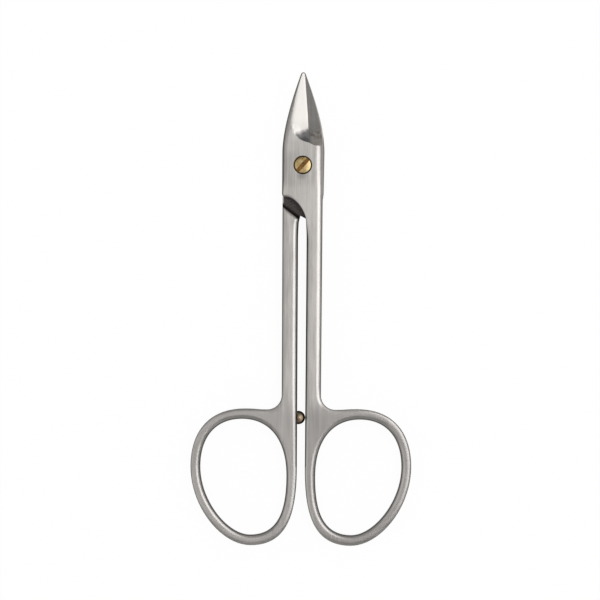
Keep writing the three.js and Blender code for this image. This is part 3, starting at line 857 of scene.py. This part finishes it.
class SteelFinish(Finish):
    """Steel brushed along the shanks and round the rings, stained in the hollows where the ground faces run
    out, and with light and shade painted on it in places.
    """

    def __init__(self, name):
        super().__init__(name)
        self.half_width = self.operation("ABSOLUTE", self.x)
        self.height = self.operation("ABSOLUTE", self.z)
        self.face_x = self.x * self.operation("SIGN", self.z)
        self.on_ring = self.step(self.y, -51, -56)
        self.on_handle = self.step(self.y, -11, -15)
        self.on_bevel = self.step(self.face_x, 1, 2.3)
        self.side = self.step(self.upright, 0.94, 0.72)
        self.grain = self.speckle(3, 4, 0.7)
        self.blotches = self.speckle(1.7, 3, 0.6)

        # Depth below the unground face, taking the soft knee at the blade's root as running on
        blade_slope = (JOINT_THICKNESS - TIP_THICKNESS) / (TIP_Y - BLADE_ROOT_Y)
        past_knee = self.above(self.y, BLADE_ROOT_Y - BLADE_KNEE)
        self.depth = HALF_JOINT - past_knee * past_knee * (blade_slope / (8 * BLADE_KNEE)) - self.height

    def brushing(self):
        """The brush marks: how they shade the steel, and their ridges."""
        across = self.half_width - RING_MIDDLE[0]
        along = self.y - RING_MIDDLE[1]
        turn = self.operation("ARCTAN2", along, across)
        straight = self.vector(self.x * 2.6, self.y * 0.11, self.z)
        round_ring = self.vector(self.distance(across, along) * 2.6, turn * 1.3, self.z)
        past_bridge = self.on_ring * self.step(self.half_width, 5, 9)
        shading = self.blend(self.noise(straight, 5, 0.7), self.noise(round_ring, 5, 0.7), past_bridge)
        ridges = self.blend(self.noise(straight, 1), self.noise(round_ring, 1), past_bridge)
        return shading, ridges

    def painted_glow_and_lighter_end(self):
        """Where the joint's faces are lighter at both ends: beside the blade's run-out as a painted glow
        that carries on the facet's highlight, and towards the shank.
        """
        beside_run_out = self.step(self.face_x, -4, -2.8) * self.step(self.face_x, 1.2, -0.8)
        by_blade = beside_run_out * self.step(self.y, 1.5, 4) * self.step(self.y, 9.5, 8)
        by_shank = self.step(self.y, -3.6, -5.5) * self.step(self.y, -14, -11)
        return by_blade + by_shank

    def lighter_shanks_and_painted_light(self):
        """How much lighter the shanks are overall, and the painted light that makes the joint and each shank
        lighter towards the right.
        """
        shank_middle = self.operation("SIGN", self.x) * 2.65 * self.on_handle
        rising = (self.x - shank_middle) * (0.03 + self.on_handle * 0.06)
        return (rising + self.on_handle * 0.13) * (1 - self.on_ring)

    def brushed(self, shading):
        """Colour of the brushed faces, with painted light towards the right and beside the blade's run-out,
        darker below the screw and darker on top of the rings.
        """
        clouding = self.noise(self.vector(self.x * 0.28, self.y * 0.09, self.z * 0.3), 3)
        shade = 0.5 + (shading - 0.5) * 1.5 + (clouding - 0.5) * 0.8
        shade = shade + self.lighter_shanks_and_painted_light() + self.painted_glow_and_lighter_end() * 0.18
        colour = self.ramp(shade, (0.2, BRUSHED[0]), (0.8, BRUSHED[1]))
        from_dark_patch = self.distance((self.face_x + 0.28) / 1.6, (self.y + 2.3) / 1.3)
        colour = self.tint(colour, BELOW_SCREW_DARK, self.step(from_dark_patch, 1.1, 0.1) * 0.55)
        ring_colour = self.tint(LEFT_RING, RIGHT_RING, self.step(self.x, -3, 3))
        return self.tint(colour, ring_colour, self.on_ring * 0.45 * self.step(self.upright, 0.965, 0.998))

    def grinding(self):
        """The ground faces: where they are, and their colour."""
        ground = self.step(self.y + self.on_bevel * 2.5, 7, 8.5)
        return ground, self.tint(*GROUND, self.step(self.y, 8.4, 10.8))

    def painted_glow_by_facet(self):
        """A painted highlight on the unground face beside the end of the facet, carrying on the facet's
        bright reflection.
        """
        by_nose = self.step(self.face_x, -3.3, -2) * self.step(self.face_x, -0.9, -1.4)
        unground = self.step(self.depth, 0.06, 0.02) * self.step(self.y, 9.5, 8)
        return by_nose * unground * self.step(self.y, 4.6, 6.9)

    def stain(self):
        """Stain in the hollow where the ground faces run out: where it is, and its colour."""
        to_left = self.operation("MAXIMUM", 3.55 - self.face_x, 0)
        edge_y = 4.2 + to_left * (0.24 + to_left * 0.02) + self.above(self.face_x, 3.75) * 1.2
        top_y = 7.42 + self.operation("MINIMUM", self.face_x, 1) * 0.4 - self.on_bevel * 0.95
        over_top = self.y - top_y + (self.blotches - 0.5) * 0.7
        in_hollow = self.step(self.depth, 0.01, 0.07) * self.step(self.y - edge_y, 0, 0.1)
        in_hollow = in_hollow * self.step(over_top, 0.8 + self.on_bevel, -0.5)
        strength = 0.65 + 0.35 * self.step(self.face_x, -1, 0.1)
        # Blotches, with painted light lifting the brown stain near its edge by the joint, where the steep
        # run-out looks darker
        blotches_and_painted_lift = self.blotches + self.step(self.y, 6.6, 4.9) * 0.35
        grey = self.ramp(self.blotches, (0.35, GREY_STAIN[0]), (0.7, GREY_STAIN[1]))
        brown = self.ramp(blotches_and_painted_lift, (0.36, BROWN_STAIN[0]), (0.68, BROWN_STAIN[1]))
        stained = in_hollow * self.step(self.outward, 0, 0.2) * strength
        return stained, self.tint(grey, brown, self.on_bevel)

    def rims(self, colour, stain):
        """Paints shade on what turns away from the faces: rims, the ledge, walls, the edge of the tip, and
        rims in the gap between the shanks.
        """
        by_edge = self.step(self.face_x, 3, 4) * self.step(self.y, -8, -6) * self.step(self.y, 6, 4)
        ledge_shade = self.step(self.half_width, 4.4, 4.5) * self.step(self.outward, 0, -0.3)
        ledge_shade = ledge_shade * self.step(self.y, 9, 7)
        over_tip = self.y - TIP_Y + TIP_RADIUS
        from_tip = self.distance(self.x, over_tip)
        tip_edge_shade = self.step(from_tip, TIP_RADIUS - 0.3, TIP_RADIUS - 0.1) * self.step(over_tip, -0.5, 0)
        tip_edge_shade = tip_edge_shade * self.step(self.upright, 0.1, 0.35)
        in_gap = self.step(self.half_width, 1.7, 1.3) * self.step(self.y, -11, -12.5)
        # Painted shade: dark rims, the ledge beside the other half's wall, milder shade on upright walls, a
        # dark outline round the tip and darker rims in the gap
        colour = self.tint(colour, RIM_SHADE, self.side * (1 - by_edge * 0.45) * (1 - stain * 0.55))
        colour = self.tint(colour, LEDGE_SHADE, ledge_shade)
        colour = self.tint(colour, WALL_SHADE, self.step(self.upright, 0.35, 0.1))
        colour = self.tint(colour, TIP_EDGE_SHADE, tip_edge_shade)
        return self.tint(colour, GAP_SHADE, self.side * in_gap)

    def lap_and_painted_shade(self):
        """Darker colour in the lap's recess, and painted shade along the lap's seam, in the screw's seat and
        as the stop's shadow: where it is, and its colour.
        """
        above_step = self.step(self.y, -13.6, -12.2)
        recess = self.step(self.y, -4.6, -6.8) * above_step * self.step(self.half_width, 4.35, 4.1)
        recess = recess * self.step(self.height, 0.9, 0.2)
        seam = self.step(self.height, 0.25, 0.08) * self.step(self.y, 5.5, 3.5) * above_step * self.side
        seat_radius = 1.85 + 0.22 * self.operation("SIGN", self.z)
        in_seat = self.step(self.distance(self.x, self.y) - seat_radius, 0.03, -0.03)
        by_stop = self.step(self.distance(self.x, self.y - STOP_Y), 1.5, 1) * self.step(self.x, 0, 0.5)
        # Painted shade: along the seam between the halves, in the gap round the screw's seat and as the
        # stop's shadow on the other shank; the recess is only darker
        colour = self.ramp(self.grain, (0.3, LAP_DARK_AND_SHADE[0]), (0.7, LAP_DARK_AND_SHADE[1]))
        colour = self.tint(colour, SEAT_SHADE, in_seat)
        colour = self.tint(colour, STOP_SHADOW, by_stop)
        in_lap = self.operation("MAXIMUM", recess, seam)
        return self.operation("MAXIMUM", in_lap, self.operation("MAXIMUM", in_seat, by_stop)), colour

    def crotch(self):
        """The corners between shank and ring, which are less polished."""
        across = self.step(self.half_width, 4, 5) * self.step(self.half_width, 9.5, 7.5)
        return across * self.step(self.y, -50, -52) * self.step(self.y, -55.5, -54.3)


def satin_steel():
    """The finish of both halves, built up from brushing to the dark lap and painted shade."""
    steel = SteelFinish("satin_steel")
    shading, ridges = steel.brushing()
    ground, ground_colour = steel.grinding()
    stain, stain_colour = steel.stain()
    lap_and_painted_shade, lap_and_painted_shade_colour = steel.lap_and_painted_shade()
    colour = steel.tint(steel.brushed(shading), ground_colour, ground * 0.8)
    colour = steel.tint(colour, PAINTED_GLOW, steel.painted_glow_by_facet())
    colour = steel.rims(steel.tint(colour, stain_colour, stain), stain)
    roughness = 0.3 + (shading - 0.5) * 0.14 - ground * 0.1
    steel.coat(
        Base_Color=steel.tint(colour, lap_and_painted_shade_colour, lap_and_painted_shade),
        Metallic=1 - lap_and_painted_shade * 0.6,
        Roughness=roughness + lap_and_painted_shade * 0.35 + stain * 0.15 + steel.crotch() * 0.25,
        Normal=steel.bump(ridges * (1 - lap_and_painted_shade) + steel.grain * lap_and_painted_shade * 8, 0.0015),
    )
    return steel.material


def brass():
    """Turned brass, darker brown in the slot and, as painted shade, round the edge of the head; the rivet's
    ball is brown with painted shade at its sides and a painted highlight towards the right.
    """
    metal = Finish("brass")
    radius = metal.distance(metal.x, metal.y)
    turning_marks = metal.noise(metal.vector(radius * 9, metal.z * 2, 0), 2)
    age = metal.speckle(1.1, 4)
    on_screw = metal.step(radius, 2.4, 2.2)
    in_slot = metal.step(metal.z, HALF_JOINT - 0.05, HALF_JOINT - 0.3)
    # Painted shade round the head's rounded edge; the slot is only darker brown
    at_edge = metal.step(radius, HEAD_RADIUS - 0.2, HEAD_RADIUS - 0.04)
    dark_slot_and_edge = metal.operation("MAXIMUM", in_slot, at_edge) * on_screw
    # Age blotches, with painted light growing towards the right, and darker over the head's part towards the
    # blade
    age_and_painted_light = age + metal.x * 0.06 - metal.above(metal.y, 0.9) * 0.35
    turned_colour = metal.ramp(age_and_painted_light, (0.2, TURNED_BRASS[0]), (0.55, TURNED_BRASS[1]))
    brown_colour = metal.ramp(age, (0.3, DARK_BRASS[0]), (0.7, DARK_BRASS[1]))
    screw_colour = metal.tint(turned_colour, brown_colour, dark_slot_and_edge)
    # Painted shade at the ball's sides and a painted highlight on its top, stronger towards the right
    painted_ball_light = metal.upright * (0.6 + (metal.x - STOP_BALL_X) * 0.6) * metal.step(metal.upright, 0.5, 0.8)
    ball_colour = metal.ramp(painted_ball_light, (0.2, BALL_SHADE_AND_HIGHLIGHT[0]), (0.72, BALL_SHADE_AND_HIGHLIGHT[1]), (0.92, BALL_SHADE_AND_HIGHLIGHT[2]))
    tarnish = (1 - on_screw) * metal.step(metal.upright, 0.75, 0.4)
    metal.coat(
        Base_Color=metal.tint(ball_colour, screw_colour, on_screw),
        Metallic=1 - tarnish,
        Roughness=0.42 - on_screw * 0.18 + (age - 0.5) * 0.2 + tarnish * 0.25,
        Specular_IOR_Level=0.1,
        Normal=metal.bump(turning_marks, 0.002),
    )
    return metal.material


def dressed(piece, node, body, material):
    piece.data.materials.clear()
    piece.data.materials.append(material)
    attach(piece, body)
    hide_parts(node)


def make_floor():
    """White to the eye and in reflections, and still taking the shadow."""
    deselect_all()
    bpy.ops.mesh.primitive_plane_add(size=FLOOR_SIZE, location=(0, 0, -FLOOR_GAP))
    floor = bpy.context.object
    floor.name = "floor"
    paper = Finish("white_floor")
    rays = ("Is Camera Ray", "Is Glossy Ray", "Is Transmission Ray")
    camera, gloss, through = (paper.node("ShaderNodeLightPath", out=ray) for ray in rays)
    share = paper.operation("MINIMUM", camera + gloss + through, 1) * FLOOR_GLOW_SHARE
    glow = paper.node("ShaderNodeEmission", sockets={"Color": (1, 1, 1), "Strength": FLOOR_GLOW})
    paper.coat(Base_Color=FLOOR_WHITE, Roughness=1)
    surface = Amount(paper, paper.surface.outputs[0])
    lit_surface = paper.node("ShaderNodeMixShader", sockets={0: share, 1: surface, 2: glow})
    paper.feed(paper.tree.nodes["Material Output"].inputs["Surface"], lit_surface)
    floor.data.materials.append(paper.material)


def add_panel(name, lean, distance, width, length, power, ahead=0):
    """A flat panel over the scissors: some degrees to the right, turned to face them, then moved ahead."""
    deselect_all()
    turn = math.radians(lean)
    place = STAGE_MIDDLE + Vector((math.sin(turn) * distance, ahead, math.cos(turn) * distance))
    bpy.ops.object.light_add(type="AREA", location=place, rotation=(0, turn, 0))
    panel = bpy.context.object
    panel.name = name
    panel.data.shape = "RECTANGLE"
    panel.data.size = width
    panel.data.size_y = length
    panel.data.energy = power


def studio_walls():
    """Pale walls under a dimmer ceiling, all round the stage."""
    world = bpy.data.worlds.new("studio_walls")
    world.use_nodes = True
    tree = world.node_tree
    direction = tree.nodes.new("ShaderNodeTexCoord")
    split = tree.nodes.new("ShaderNodeSeparateXYZ")
    light = tree.nodes.new("ShaderNodeMapRange")
    light.interpolation_type = "SMOOTHSTEP"
    ranges = {"From Min": CEILING_EDGE[0], "From Max": CEILING_EDGE[1]}
    levels = {"To Min": WALL_LIGHT, "To Max": CEILING_LIGHT}
    for name, level in (ranges | levels).items():
        light.inputs[name].default_value = level
    tree.links.new(direction.outputs["Generated"], split.inputs["Vector"])
    tree.links.new(split.outputs["Z"], light.inputs["Value"])
    tree.links.new(light.outputs["Result"], tree.nodes["Background"].inputs["Color"])
    return world


def light_stage():
    add_panel("overhead_panel", lean=-23.5, distance=1.6, width=1.596, length=1.16, power=2.324)
    add_panel("right_softbox", lean=22.5, distance=1.2, width=0.576, length=0.97, power=2.77, ahead=0.21)
    bpy.context.scene.world = studio_walls()


def add_camera():
    """Straight above, as in the photograph."""
    deselect_all()
    place = STAGE_MIDDLE + Vector((0, 0, CAMERA_HEIGHT))
    bpy.ops.object.camera_add(location=place, rotation=(0, 0, math.radians(CAMERA_TURN)))
    camera = bpy.context.object
    camera.data.sensor_fit = "HORIZONTAL"
    camera.data.lens = camera.data.sensor_width * CAMERA_HEIGHT / VIEW_WIDTH
    camera.data.clip_start = 0.01
    bpy.context.scene.camera = camera


steel_finish = satin_steel()
brass_finish = brass()
dressed(make_front_half(), "front_half", "front", steel_finish)
dressed(make_back_half(), "back_half", "back", steel_finish)
dressed(make_pivot_screw(), "pivot_screw", "back", brass_finish)
dressed(make_stop_rivet(), "stop_rivet", "back", brass_finish)
make_floor()
light_stage()
add_camera()
bpy.context.scene.view_settings.view_transform = "Standard"
